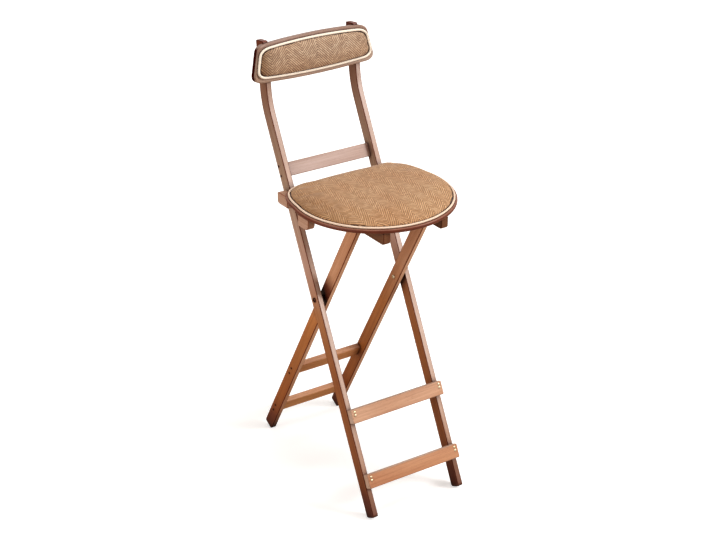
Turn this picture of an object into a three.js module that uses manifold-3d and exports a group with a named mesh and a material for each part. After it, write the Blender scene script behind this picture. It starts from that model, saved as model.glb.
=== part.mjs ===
import * as THREE from 'three';
import { mergeVertices } from 'three/addons/utils/BufferGeometryUtils.js';
import Module from 'manifold-3d';

// Folding bar stool with a backrest. Lengths are millimetres and angles are degrees.
// Two long rails carry the backrest and end as the front legs.
// Two shorter rear legs cross them between the rails and carry the front of the seat.
// +Z is up, the front faces -Y and left is -X.
// The origin is the middle of the bounding box's underside.

// Crossing point and leans
const pivotHeight = 493.8;
const railLean = 26.64;
const legLean = 28.96;
const postLean = 7.2;

// Long rails
const frameWidth = 270;
const railWidth = 32.7;
const railThickness = 14.3;
const bendAbovePivot = 488.9;
const bendRadius = 200;
const postLength = 151.8;
const postTopRadius = 4;

// Rear legs
const legClearance = 9.9;
const legWidth = 33.4;
const legThickness = 13.4;
const seatBoltAbovePivot = 260.7;

// Rungs and back slat
const rungHeight = 34.3;
const frontRungThickness = 19.3;
const frontRungInset = 0.8;
const upperFrontRungAboveFoot = 250.5;
const lowerFrontRungAboveFoot = 88.4;
const rearRungThickness = 15.6;
const rearRungSetBack = 5.7;
const upperRearRungAboveFoot = 240.9;
const lowerRearRungAboveFoot = 72.4;
const slatHeight = 34;
const slatThickness = 16;
const slatAbovePivot = 320.8;

// Seat
const seatCentreForward = 50.2;
const cushionRadius = 191.8;
const cushionBack = 142.8;
const boardOverhang = 6.4;
const boardThickness = 11;
const boardEdgeRadius = 3;
const boardAbovePivot = 249.2;
const pipingRadius = 2.6;
const cushionSide = 10;
const cushionCrown = 13.7;

// Blocks under the seat
const blockHeight = 29.3;
const blockThickness = 19.5;
const blockCornerRadius = 9;
const battenClearance = 6.1;
const battenFrontInset = 24.1;
const battenBehindBolt = 22.7;
const rearBlockClearance = 9.1;
const rearBlockBeforePin = 33.3;
const rearBlockBehindPin = 11.5;
const frontBlockInset = 4.2;
const frontBlockLength = 45.4;
const frontBlockSetBack = 6.8;
const frontBlockCornerRadius = 18;

// Backrest
const backBoardThickness = 18;
const backBoardEdgeRadius = 3;
const backBoardLetIn = 8.5;
const backBoardAboveBend = 49.4;
const backBoardHeight = 102.3;
const backBoardHalfWidth = 175.8;
const backPipingSideInset = 8.3;
const backPipingTopInset = 9.6;
const backPipingBottomInset = 12.2;
const backBottomSag = 4.5;
const backLowerCornerRun = 29;
const backLowerCornerRise = 28;
const backUpperCornerRise = 24.3;
const backShoulderInset = 45.1;
const backArchRise = 5.3;
const backPadSide = 5;
const backPadCrown = 9.8;

// Bolts, pins and screws
const boltRadius = 4;
const boltHeadRadius = 6.2;
const boltHeadHeight = 3.6;
const nutRadius = 7.5;
const nutHeight = 6;
const boltTipLength = 2;
const sleeveRadius = 7;
const pinRadius = 4;
const pinAbovePivot = 257.1;
const pinForward = 8.8;
const pinSeatDepth = 10;
const pinEndSkin = 6;
const pinPlay = 0.5;
const slotLength = 40;
const slotFlare = 3.5;
const screwRadius = 1.7;
const screwHeadRadius = 3.1;
const screwHeadHeight = 1.1;
const screwLength = 26;
const backScrewLength = 38;
const sideScrewDistance = 21;
const slatScrewDistance = 24.2;
const slatScrewSetBack = 9;
const legScrewSetBack = 3.6;
const frontScrewInset = 9.2;
const frontScrewLow = 2.5;
const frontScrewHigh = 10.6;
const backScrewLow = 31;
const backScrewHigh = 74;

// Fits
const fitGap = 0.3;
const edgeSoftness = 1.3;

// Shares and counts
const curveSteps = 8;
const roundSteps = 12;
const holeSteps = 12;
const outlineSteps = 14;
const cornerStartAngle = 13.05;
const seatCornerShares = [[0.952, 0.4406], [0.889, 0.737], [0.593, 0.7445]];
const backTaperShare = 0.2255;
const crownSteps = 6;
const drawnInShare = 0.985;
const octagonShare = 0.586;

// Derived sizes
const railHalf = railWidth / 2;
const legHalf = legWidth / 2;
const railOutside = frameWidth / 2;
const railInside = railOutside - railThickness;
const legOutside = railInside - legClearance;
const legInside = legOutside - legThickness;
const battenOutside = legInside - battenClearance;
const battenInside = battenOutside - blockThickness;
const rearBlockOutside = railOutside + rearBlockClearance + blockThickness;
const slatSetBack = railHalf - slatThickness / 2;
const frontRungLength = frameWidth - 2 * frontRungInset;
const seatBoardRadius = cushionRadius + boardOverhang;

const sides = [['left', -1], ['right', 1]];

const wasm = await Module();
wasm.setup();

function radians(degrees) {
  return THREE.MathUtils.degToRad(degrees);
}

// Materials
const looks = {
  railWood: { color: 0xc08a66, roughness: 0.5, metalness: 0 },
  legWood: { color: 0x9a5a30, roughness: 0.5, metalness: 0 },
  boardWood: { color: 0xb07a55, roughness: 0.5, metalness: 0 },
  weave: { color: 0xc1946a, roughness: 0.9, metalness: 0 },
  cord: { color: 0xffe4d0, roughness: 0.8, metalness: 0 },
  steel: { color: 0x8c7c6c, roughness: 0.35, metalness: 0.9 },
};

function addMesh(parent, name, geometry, look, position = [0, 0, 0]) {
  const mesh = new THREE.Mesh(geometry, new THREE.MeshStandardMaterial(looks[look]));
  mesh.name = name;
  mesh.position.set(...position);
  parent.add(mesh);
  return mesh;
}

// Boolean cuts
function toSolid(geometry) {
  const bare = geometry.clone();
  bare.deleteAttribute('normal');
  bare.deleteAttribute('uv');
  const merged = mergeVertices(bare);
  const vertProperties = new Float32Array(merged.attributes.position.array);
  const triVerts = new Uint32Array(merged.index.array);
  return new wasm.Manifold(new wasm.Mesh({ numProp: 3, vertProperties, triVerts }));
}

function toGeometry(solid) {
  const mesh = solid.getMesh();
  const geometry = new THREE.BufferGeometry();
  geometry.setAttribute('position', new THREE.BufferAttribute(new Float32Array(mesh.vertProperties), 3));
  geometry.setIndex(new THREE.BufferAttribute(new Uint32Array(mesh.triVerts), 1));
  geometry.computeVertexNormals();
  return geometry;
}

function cut(geometry, cutters) {
  let solid = toSolid(geometry);
  for (const cutter of cutters) {
    solid = solid.subtract(toSolid(cutter));
  }
  return toGeometry(solid);
}

// A side-view outline of Y and Z, thickened along X about x = 0
const sideView = new THREE.Matrix4().makeBasis(
  new THREE.Vector3(0, 1, 0),
  new THREE.Vector3(0, 0, 1),
  new THREE.Vector3(1, 0, 0),
);

// A front-view outline of X and Z, thickened towards the front from y = 0
const frontView = new THREE.Matrix4().makeBasis(
  new THREE.Vector3(1, 0, 0),
  new THREE.Vector3(0, 0, 1),
  new THREE.Vector3(0, -1, 0),
);

function thicken(shape, thickness, softness, steps = curveSteps) {
  const core = thickness - 2 * softness;
  const geometry = new THREE.ExtrudeGeometry(shape, {
    depth: core,
    bevelEnabled: softness > 0,
    bevelThickness: softness,
    bevelSize: softness,
    bevelOffset: -softness,
    bevelSegments: 1,
    curveSegments: steps,
  });
  geometry.translate(0, 0, softness);
  return geometry;
}

function plank(shape, thickness, softness = edgeSoftness) {
  const geometry = thicken(shape, thickness, softness);
  geometry.translate(0, 0, -thickness / 2);
  geometry.applyMatrix4(sideView);
  return geometry;
}

// A rectangle with small chamfered corners
function softRectangle(left, bottom, right, top, softness = edgeSoftness) {
  const shape = new THREE.Shape();
  shape.moveTo(left + softness, bottom);
  shape.lineTo(right - softness, bottom);
  shape.lineTo(right, bottom + softness);
  shape.lineTo(right, top - softness);
  shape.lineTo(right - softness, top);
  shape.lineTo(left + softness, top);
  shape.lineTo(left, top - softness);
  shape.lineTo(left, bottom + softness);
  shape.closePath();
  return shape;
}

function bar(length, thickness, height) {
  const shape = softRectangle(-thickness / 2, -height / 2, thickness / 2, height / 2);
  return plank(shape, length);
}

// Round pieces along X, their heads towards +X
function lathe(points, steps = roundSteps) {
  const geometry = new THREE.LatheGeometry(points.map(([x, y]) => new THREE.Vector2(x, y)), steps);
  geometry.rotateZ(-Math.PI / 2);
  return geometry;
}

function screw(length) {
  return lathe([
    [0, -length],
    [screwRadius, -length + screwRadius],
    [screwRadius, 0],
    [screwHeadRadius, 0],
    [screwHeadRadius, screwHeadHeight / 2],
    [screwHeadRadius / 2, screwHeadHeight],
    [0, screwHeadHeight],
  ]);
}

function bolt(length) {
  return lathe([
    [0, -length],
    [boltRadius, -length],
    [boltRadius, 0],
    [boltHeadRadius, 0],
    [boltHeadRadius, boltHeadHeight / 2],
    [boltHeadRadius / 2, boltHeadHeight],
    [0, boltHeadHeight],
  ], 2 * roundSteps);
}

function sleeve(outerRadius, innerRadius, length, steps) {
  return lathe([
    [innerRadius, -length / 2],
    [outerRadius, -length / 2],
    [outerRadius, length / 2],
    [innerRadius, length / 2],
    [innerRadius, -length / 2],
  ], steps);
}

function nut() {
  const body = new THREE.CylinderGeometry(nutRadius, nutRadius, nutHeight, 6);
  body.rotateZ(-Math.PI / 2);
  return cut(body, [drill(boltRadius + fitGap, 2 * nutHeight)]);
}

// A round cutter along X, its middle at the given point
function drill(radius, length, x = 0, y = 0, z = 0) {
  const geometry = new THREE.CylinderGeometry(radius, radius, length, holeSteps);
  geometry.rotateZ(-Math.PI / 2);
  geometry.translate(x, y, z);
  return geometry;
}

// The same cutter along Y
function drillAcross(radius, length, x, y, z) {
  const geometry = new THREE.CylinderGeometry(radius, radius, length, holeSteps);
  geometry.translate(x, y, z);
  return geometry;
}

// The lowest point of a square-cut foot lies on the floor
function footBelowPivot(lean, halfWidth) {
  const tilt = radians(lean);
  const corner = (halfWidth - edgeSoftness) * Math.tan(tilt);
  return pivotHeight / Math.cos(tilt) - corner;
}

// Long rail: straight from the foot, then bent forward into the upright post
function railShape() {
  const turn = radians(railLean - postLean);
  const tangent = bendRadius * Math.tan(turn / 2);
  const bendStart = bendAbovePivot - tangent;
  const foot = -footBelowPivot(railLean, railHalf);
  const centre = new THREE.Vector2(-bendRadius, bendStart);
  const along = new THREE.Vector2(-Math.sin(turn), Math.cos(turn));
  const across = new THREE.Vector2(Math.cos(turn), Math.sin(turn));
  const top = new THREE.Vector2(0, bendAbovePivot).addScaledVector(along, postLength);
  const corner = (side, down) => top.clone().addScaledVector(across, side).addScaledVector(along, -down);
  const shape = new THREE.Shape();
  shape.moveTo(-railHalf + edgeSoftness, foot);
  shape.lineTo(railHalf - edgeSoftness, foot);
  shape.lineTo(railHalf, foot + edgeSoftness);
  shape.absarc(centre.x, centre.y, bendRadius + railHalf, 0, turn, false);
  const rearLow = corner(railHalf, postTopRadius);
  const rearCorner = corner(railHalf, 0);
  const rearIn = corner(railHalf - postTopRadius, 0);
  const frontIn = corner(postTopRadius - railHalf, 0);
  const frontCorner = corner(-railHalf, 0);
  const frontLow = corner(-railHalf, postTopRadius);
  shape.lineTo(rearLow.x, rearLow.y);
  shape.quadraticCurveTo(rearCorner.x, rearCorner.y, rearIn.x, rearIn.y);
  shape.lineTo(frontIn.x, frontIn.y);
  shape.quadraticCurveTo(frontCorner.x, frontCorner.y, frontLow.x, frontLow.y);
  shape.absarc(centre.x, centre.y, bendRadius - railHalf, turn, 0, true);
  shape.lineTo(-railHalf, foot + edgeSoftness);
  shape.closePath();
  return shape;
}

// Rear leg: square-cut foot and a round head about the seat bolt
function legShape() {
  const foot = -footBelowPivot(legLean, legHalf);
  const shape = new THREE.Shape();
  shape.moveTo(-legHalf + edgeSoftness, foot);
  shape.lineTo(legHalf - edgeSoftness, foot);
  shape.lineTo(legHalf, foot + edgeSoftness);
  shape.absarc(0, seatBoltAbovePivot, legHalf, 0, Math.PI, false);
  shape.lineTo(-legHalf, foot + edgeSoftness);
  shape.closePath();
  return shape;
}

// Seat outline: a circle with fuller rear corners and a flat back
function seatOutline(grow) {
  const radius = cushionRadius + grow;
  const back = cushionBack + grow;
  const start = radians(cornerStartAngle);
  const shape = new THREE.Shape();
  const [first, second, third] = seatCornerShares;
  const backShare = back / (third[1] * radius);
  shape.moveTo(-third[0] * radius, back);
  shape.bezierCurveTo(
    -second[0] * radius, second[1] * radius * backShare,
    -first[0] * radius, first[1] * radius,
    -Math.cos(start) * radius, Math.sin(start) * radius,
  );
  shape.absarc(0, 0, radius, Math.PI - start, 2 * Math.PI + start, false);
  shape.bezierCurveTo(
    first[0] * radius, first[1] * radius,
    second[0] * radius, second[1] * radius * backShare,
    third[0] * radius, back,
  );
  shape.closePath();
  return shape;
}

// Backrest outline: tapered sides, rounded corners, an arched top and a sagging lower edge
function backOutline(sideInset, topInset, bottomInset) {
  const half = backBoardHalfWidth - sideInset;
  const top = backBoardHeight - topInset;
  const sideAt = (z) => half - backTaperShare * z;
  const low = bottomInset;
  const flat = sideAt(low) - backLowerCornerRun;
  const flatHeight = low + backBottomSag;
  const lowerSlope = 2 * backBottomSag / flat;
  const lowerHeight = flatHeight + lowerSlope * (sideAt(flatHeight) - flat);
  const lowerEnd = low + backLowerCornerRise;
  const upperStart = top - backUpperCornerRise;
  const shoulder = [half - backShoulderInset, top - backArchRise];
  const upperSlope = 2 * backArchRise / shoulder[0];
  const upperRun = sideAt(shoulder[1]) - shoulder[0];
  const upperHeight = shoulder[1] - upperSlope * upperRun;
  const upper = [sideAt(upperHeight), upperHeight];
  const shape = new THREE.Shape();
  shape.moveTo(-flat, flatHeight);
  shape.quadraticCurveTo(0, low - backBottomSag, flat, flatHeight);
  shape.quadraticCurveTo(sideAt(lowerHeight), lowerHeight, sideAt(lowerEnd), lowerEnd);
  shape.lineTo(sideAt(upperStart), upperStart);
  shape.quadraticCurveTo(upper[0], upper[1], shoulder[0], shoulder[1]);
  shape.quadraticCurveTo(0, top + backArchRise, -shoulder[0], shoulder[1]);
  shape.quadraticCurveTo(-upper[0], upper[1], -sideAt(upperStart), upperStart);
  shape.lineTo(-sideAt(lowerEnd), lowerEnd);
  shape.quadraticCurveTo(-sideAt(lowerHeight), lowerHeight, -flat, flatHeight);
  shape.closePath();
  return shape;
}

// A flat-bottomed pad with drawn-in sides and a crown over its whole width
function pad(shape, sideHeight, crown) {
  const outline = shape.getPoints(outlineSteps);
  if (outline[0].distanceTo(outline[outline.length - 1]) < fitGap) {
    outline.pop();
  }
  const box = new THREE.Box2().setFromPoints(outline);
  const centre = box.getCenter(new THREE.Vector2());
  const levels = [[drawnInShare, 0], [1, sideHeight / 2], [drawnInShare, sideHeight]];
  for (let step = 1; step < crownSteps; step += 1) {
    const share = step / crownSteps;
    const angle = share * Math.PI / 2;
    levels.push([drawnInShare * Math.cos(angle), sideHeight + crown * Math.sin(angle)]);
  }
  const count = outline.length;
  const positions = [];
  for (const [scale, height] of levels) {
    for (const point of outline) {
      positions.push(centre.x + (point.x - centre.x) * scale);
      positions.push(centre.y + (point.y - centre.y) * scale);
      positions.push(height);
    }
  }
  positions.push(centre.x, centre.y, 0);
  positions.push(centre.x, centre.y, sideHeight + crown);
  const bottom = levels.length * count;
  const top = bottom + 1;
  const index = [];
  for (let i = 0; i < count; i += 1) {
    const next = (i + 1) % count;
    index.push(bottom, next, i);
    for (let level = 0; level + 1 < levels.length; level += 1) {
      const low = level * count;
      const high = low + count;
      index.push(low + i, low + next, high + next);
      index.push(low + i, high + next, high + i);
    }
    const last = (levels.length - 1) * count;
    index.push(last + i, last + next, top);
  }
  const geometry = new THREE.BufferGeometry();
  geometry.setAttribute('position', new THREE.Float32BufferAttribute(positions, 3));
  geometry.setIndex(index);
  geometry.computeVertexNormals();
  return geometry;
}

// A flat ring of cord between two outlines
function cordRing(outer, inner) {
  const shape = outer;
  shape.holes.push(new THREE.Path(inner.getPoints(outlineSteps)));
  return thicken(shape, 2 * pipingRadius, octagonShare * pipingRadius, outlineSteps);
}

// Bent rail frame, turned about the crossing point
const stool = new THREE.Group();
const railFrame = new THREE.Group();
railFrame.position.set(0, 0, pivotHeight);
railFrame.rotation.x = -radians(railLean);
stool.add(railFrame);

const railFoot = -footBelowPivot(railLean, railHalf);
const frontRungHeights = [
  ['upper', railFoot + upperFrontRungAboveFoot],
  ['lower', railFoot + lowerFrontRungAboveFoot],
];
const frontRungMiddle = -railHalf - fitGap - frontRungThickness / 2;
const frontRungFace = -railHalf - fitGap - frontRungThickness;
const frontScrewAcross = frontRungLength / 2 - frontScrewInset;
const slatScrewHeights = [['upper', slatScrewDistance / 2], ['lower', -slatScrewDistance / 2]];
const frontScrewHeights = [['upper', frontScrewHigh], ['lower', frontScrewLow]];
const backScrewHeights = [['upper', backScrewHigh], ['lower', backScrewLow]];
const holeRadius = screwRadius + fitGap;
const railMiddle = railOutside - railThickness / 2;
const postTurn = radians(railLean - postLean);

function postPoint(y, z) {
  return [
    y * Math.cos(postTurn) - z * Math.sin(postTurn),
    bendAbovePivot + y * Math.sin(postTurn) + z * Math.cos(postTurn),
  ];
}

function railCutters(sign) {
  const cutters = [drill(boltRadius + fitGap, 2 * railThickness)];
  const pinHole = pinSeatDepth + fitGap;
  const outerFace = sign * railThickness / 2;
  cutters.push(drill(pinRadius + fitGap, 2 * pinHole, outerFace, -pinForward, pinAbovePivot));
  for (const [, height] of slatScrewHeights) {
    cutters.push(drill(holeRadius, 2 * railThickness, 0, slatScrewSetBack, slatAbovePivot + height));
  }
  const across = sign * (frontScrewAcross - railMiddle);
  const reach = screwLength - frontRungThickness + fitGap;
  for (const [, rung] of frontRungHeights) {
    for (const [, height] of frontScrewHeights) {
      cutters.push(drillAcross(holeRadius, 2 * reach, across, -railHalf, rung + height));
    }
  }
  for (const [, height] of backScrewHeights) {
    const [y, z] = postPoint(0, backBoardAboveBend + height);
    const hole = drillAcross(holeRadius, 2 * railWidth, 0, 0, 0);
    hole.rotateX(postTurn);
    hole.translate(0, y, z);
    cutters.push(hole);
  }
  return cutters;
}

for (const [side, sign] of sides) {
  const rail = cut(plank(railShape(), railThickness), railCutters(sign));
  addMesh(railFrame, `${side}_long_rail`, rail, 'railWood', [sign * railMiddle, 0, 0]);
}

// Front rungs, screwed on from the front
for (const [level, height] of frontRungHeights) {
  const holes = [];
  for (const [, sign] of sides) {
    for (const [, up] of frontScrewHeights) {
      holes.push(drillAcross(holeRadius, 2 * frontRungThickness, sign * frontScrewAcross, 0, up));
    }
  }
  const rung = cut(bar(frontRungLength, frontRungThickness, rungHeight), holes);
  addMesh(railFrame, `${level}_front_rung`, rung, 'railWood', [0, frontRungMiddle, height]);
  for (const [side, sign] of sides) {
    for (const [place, up] of frontScrewHeights) {
      const name = `${side}_${level}_front_rung_screw_${place}`;
      const position = [sign * frontScrewAcross, frontRungFace - fitGap, height + up];
      const mesh = addMesh(railFrame, name, screw(screwLength), 'steel', position);
      mesh.rotation.z = -Math.PI / 2;
    }
  }
}

// Back slat between the rails, screwed through them
const slatEnd = railInside - fitGap;
const slatReach = screwLength - railThickness;
const slatHoles = [];
for (const [, sign] of sides) {
  for (const [, up] of slatScrewHeights) {
    slatHoles.push(drill(holeRadius, 2 * slatReach, sign * slatEnd, slatScrewSetBack - slatSetBack, up));
  }
}
const slat = cut(bar(2 * slatEnd, slatThickness, slatHeight), slatHoles);
addMesh(railFrame, 'back_slat', slat, 'railWood', [0, slatSetBack, slatAbovePivot]);
for (const [side, sign] of sides) {
  for (const [place, up] of slatScrewHeights) {
    const name = `${side}_back_slat_screw_${place}`;
    const position = [sign * (railOutside + fitGap), slatScrewSetBack, slatAbovePivot + up];
    const mesh = addMesh(railFrame, name, screw(screwLength), 'steel', position);
    mesh.rotation.z = sign > 0 ? 0 : Math.PI;
  }
}

// Backrest in the frame of the upright posts
const postFrame = new THREE.Group();
postFrame.position.set(0, 0, bendAbovePivot);
postFrame.rotation.x = postTurn;
railFrame.add(postFrame);

const backBoardRear = -railHalf + backBoardLetIn;
const backBoardFront = backBoardRear - backBoardThickness;
const backBoard = thicken(backOutline(0, 0, 0), backBoardThickness, backBoardEdgeRadius, outlineSteps);
backBoard.applyMatrix4(frontView);
const backCutters = [];
for (const [, sign] of sides) {
  const groove = new THREE.BoxGeometry(
    railThickness + 2 * fitGap,
    2 * (backBoardLetIn + fitGap),
    4 * backBoardHeight,
  );
  groove.translate(sign * railMiddle, 0, 0);
  backCutters.push(groove);
  const depth = backScrewLength - railWidth + backBoardLetIn + fitGap;
  for (const [, up] of backScrewHeights) {
    backCutters.push(drillAcross(holeRadius, 2 * depth, sign * railMiddle, 0, up));
  }
}
const backPosition = [0, backBoardRear, backBoardAboveBend];
addMesh(postFrame, 'backrest_board', cut(backBoard, backCutters), 'boardWood', backPosition);
for (const [side, sign] of sides) {
  for (const [place, up] of backScrewHeights) {
    const name = `${side}_backrest_screw_${place}`;
    const position = [sign * railMiddle, railHalf + fitGap, backBoardAboveBend + up];
    const mesh = addMesh(postFrame, name, screw(backScrewLength), 'steel', position);
    mesh.rotation.z = Math.PI / 2;
  }
}

function backCord(grow) {
  return backOutline(
    backPipingSideInset - grow,
    backPipingTopInset - grow,
    backPipingBottomInset - grow,
  );
}
const backPad = pad(backCord(-pipingRadius - fitGap), backPadSide, backPadCrown);
backPad.applyMatrix4(frontView);
const padPosition = [0, backBoardFront - fitGap, backBoardAboveBend];
addMesh(postFrame, 'backrest_pad', backPad, 'weave', padPosition);
const backPiping = cordRing(backCord(pipingRadius), backCord(-pipingRadius));
backPiping.applyMatrix4(frontView);
addMesh(postFrame, 'backrest_piping', backPiping, 'cord', padPosition);

// Rear leg frame, turned about the same crossing point
const legFrame = new THREE.Group();
legFrame.position.set(0, 0, pivotHeight);
legFrame.rotation.x = radians(legLean);
stool.add(legFrame);

const legMiddle = legOutside - legThickness / 2;
const legFoot = -footBelowPivot(legLean, legHalf);
const rearRungHeights = [
  ['upper', legFoot + upperRearRungAboveFoot],
  ['lower', legFoot + lowerRearRungAboveFoot],
];
const legScrewHeights = [['upper', sideScrewDistance / 2], ['lower', -sideScrewDistance / 2]];

for (const [side, sign] of sides) {
  const cutters = [
    drill(boltRadius + fitGap, 2 * legThickness),
    drill(boltRadius + fitGap, 2 * legThickness, 0, 0, seatBoltAbovePivot),
  ];
  for (const [, rung] of rearRungHeights) {
    for (const [, up] of legScrewHeights) {
      cutters.push(drill(holeRadius, 2 * legThickness, 0, legScrewSetBack, rung + up));
    }
  }
  const leg = cut(plank(legShape(), legThickness), cutters);
  addMesh(legFrame, `${side}_rear_leg`, leg, 'legWood', [sign * legMiddle, 0, 0]);
}

const rearRungEnd = legInside - fitGap;
const rearReach = screwLength - legThickness;
for (const [level, height] of rearRungHeights) {
  const holes = [];
  for (const [, sign] of sides) {
    for (const [, up] of legScrewHeights) {
      const across = sign * rearRungEnd;
      holes.push(drill(holeRadius, 2 * rearReach, across, legScrewSetBack - rearRungSetBack, up));
    }
  }
  const rung = cut(bar(2 * rearRungEnd, rearRungThickness, rungHeight), holes);
  addMesh(legFrame, `${level}_rear_rung`, rung, 'legWood', [0, rearRungSetBack, height]);
  for (const [side, sign] of sides) {
    for (const [place, up] of legScrewHeights) {
      const name = `${side}_${level}_rear_rung_screw_${place}`;
      const position = [sign * (legOutside + fitGap), legScrewSetBack, height + up];
      const mesh = addMesh(legFrame, name, screw(screwLength), 'steel', position);
      mesh.rotation.z = sign > 0 ? 0 : Math.PI;
    }
  }
}

// Cross bolts through rail and leg, each with a sleeve between them and a nut inside
for (const [side, sign] of sides) {
  const length = railOutside - legInside + 3 * fitGap + nutHeight + boltTipLength;
  const head = [sign * (railOutside + fitGap), 0, 0];
  const crossBolt = addMesh(railFrame, `${side}_cross_bolt`, bolt(length), 'steel', head);
  crossBolt.rotation.z = sign > 0 ? 0 : Math.PI;
  const room = railInside - legOutside;
  const crossSleeve = sleeve(sleeveRadius, boltRadius + fitGap, room - 2 * fitGap, 2 * roundSteps);
  const middle = [sign * (legOutside + room / 2), 0, 0];
  addMesh(railFrame, `${side}_cross_sleeve`, crossSleeve, 'steel', middle);
  const nutPlace = [sign * (legInside - fitGap - nutHeight / 2), 0, 0];
  addMesh(railFrame, `${side}_cross_nut`, nut(), 'steel', nutPlace);
}

// Support pins on the outer faces of the rails
const pinEnd = rearBlockOutside - pinEndSkin;
for (const [side, sign] of sides) {
  const length = pinEnd - railOutside + pinSeatDepth;
  const pin = lathe([
    [0, -length],
    [pinRadius, -length],
    [pinRadius, -edgeSoftness],
    [pinRadius - edgeSoftness, 0],
    [0, 0],
  ]);
  const position = [sign * pinEnd, -pinForward, pinAbovePivot];
  const mesh = addMesh(railFrame, `${side}_seat_support_pin`, pin, 'steel', position);
  mesh.rotation.z = sign > 0 ? 0 : Math.PI;
}

// Seat, level on its two bolts
const seatBoltForward = seatBoltAbovePivot * Math.sin(radians(legLean));
const seatBoltHeight = seatBoltAbovePivot * Math.cos(radians(legLean));
const seat = new THREE.Group();
seat.position.set(0, 0, pivotHeight);
stool.add(seat);

const seatCentre = [0, -seatCentreForward, boardAbovePivot];
const seatBoard = thicken(seatOutline(boardOverhang), boardThickness, boardEdgeRadius, outlineSteps);
addMesh(seat, 'seat_board', seatBoard, 'boardWood', seatCentre);
const clothHeight = boardAbovePivot + boardThickness + fitGap;
const clothPosition = [0, -seatCentreForward, clothHeight];
const seatPad = pad(seatOutline(-pipingRadius - fitGap), cushionSide, cushionCrown);
addMesh(seat, 'seat_cushion', seatPad, 'weave', clothPosition);
const seatPiping = cordRing(seatOutline(pipingRadius), seatOutline(-pipingRadius));
addMesh(seat, 'seat_piping', seatPiping, 'cord', clothPosition);

// Blocks and battens: the lower corner at the free end is rounded
function blockShape(front, back, roundFront, radius = blockCornerRadius) {
  const bottom = boardAbovePivot - fitGap - blockHeight;
  const top = boardAbovePivot - fitGap;
  const free = roundFront ? -front : back;
  const other = roundFront ? back : -front;
  const inward = Math.sign(other - free);
  const shape = new THREE.Shape();
  shape.moveTo(other, bottom);
  shape.lineTo(other, top);
  shape.lineTo(free, top);
  shape.lineTo(free, bottom + radius);
  shape.quadraticCurveTo(free, bottom, free + inward * radius, bottom);
  shape.closePath();
  return shape;
}

// The open slot that drops over a support pin, drawn about the pin along the rail
function slotShape() {
  const half = pinRadius + pinPlay;
  const shape = new THREE.Shape();
  shape.moveTo(half, 0);
  shape.absarc(0, 0, half, 0, Math.PI, false);
  shape.lineTo(-half - slotFlare, -slotLength);
  shape.lineTo(half + slotFlare, -slotLength);
  shape.closePath();
  return shape;
}

const lean = radians(railLean);
const pinY = pinAbovePivot * Math.sin(lean) - pinForward * Math.cos(lean);
const pinZ = pinAbovePivot * Math.cos(lean) + pinForward * Math.sin(lean);
const blockMiddle = (outside) => outside - blockThickness / 2;
const battenFront = seatCentreForward + seatBoardRadius - battenFrontInset;
const battenBack = seatBoltForward - battenBehindBolt;
const rearBlockFront = pinY - rearBlockBeforePin;
const rearBlockBack = pinY + rearBlockBehindPin;
const frontBlockOutside = seatBoardRadius - frontBlockInset;
const frontBlockBack = seatCentreForward - frontBlockLength / 2 - frontBlockSetBack;
const frontBlockFront = frontBlockBack + frontBlockLength;

for (const [side, sign] of sides) {
  const battenCutter = drill(boltRadius + fitGap, 2 * blockThickness, 0, -seatBoltForward, seatBoltHeight);
  const batten = cut(plank(blockShape(battenFront, -battenBack, true), blockThickness), [battenCutter]);
  addMesh(seat, `${side}_seat_batten`, batten, 'legWood', [sign * blockMiddle(battenOutside), 0, 0]);

  const slot = thicken(slotShape(), blockThickness, 0);
  slot.applyMatrix4(sideView);
  slot.rotateX(-lean);
  const slotShift = -pinEndSkin + pinPlay;
  const slotX = sign > 0 ? slotShift - blockThickness / 2 : -slotShift - blockThickness / 2;
  slot.translate(slotX, pinY, pinZ);
  const rearBlock = cut(plank(blockShape(-rearBlockFront, rearBlockBack, false), blockThickness), [slot]);
  addMesh(seat, `${side}_rear_seat_block`, rearBlock, 'legWood', [sign * blockMiddle(rearBlockOutside), 0, 0]);

  const frontShape = blockShape(frontBlockFront, -frontBlockBack, true, frontBlockCornerRadius);
  const frontBlock = plank(frontShape, blockThickness);
  addMesh(seat, `${side}_front_seat_block`, frontBlock, 'legWood', [sign * blockMiddle(frontBlockOutside), 0, 0]);
}

// Seat bolts through the heads of the rear legs into the battens
for (const [side, sign] of sides) {
  const place = [-seatBoltForward, seatBoltHeight];
  const length = legOutside - battenInside + 3 * fitGap + nutHeight + boltTipLength;
  const head = [sign * (legOutside + fitGap), ...place];
  const seatBolt = addMesh(seat, `${side}_seat_bolt`, bolt(length), 'steel', head);
  seatBolt.rotation.z = sign > 0 ? 0 : Math.PI;
  const room = legInside - battenOutside;
  const seatSleeve = sleeve(sleeveRadius, boltRadius + fitGap, room - 2 * fitGap, 2 * roundSteps);
  addMesh(seat, `${side}_seat_sleeve`, seatSleeve, 'steel', [sign * (battenOutside + room / 2), ...place]);
  const nutPlace = [sign * (battenInside - fitGap - nutHeight / 2), ...place];
  addMesh(seat, `${side}_seat_nut`, nut(), 'steel', nutPlace);
}

// The origin at the middle of the bounding box's underside
stool.updateMatrixWorld(true);
const bounds = new THREE.Box3().setFromObject(stool, true);
const middle = bounds.getCenter(new THREE.Vector3());
stool.position.set(-middle.x, -middle.y, -bounds.min.z);

export default stool;
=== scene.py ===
# Folding bar stool with a backrest: stained timber frame, herringbone cushions, cream piping.
import math

import bmesh
import bpy
from mathutils import Matrix, Vector


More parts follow.
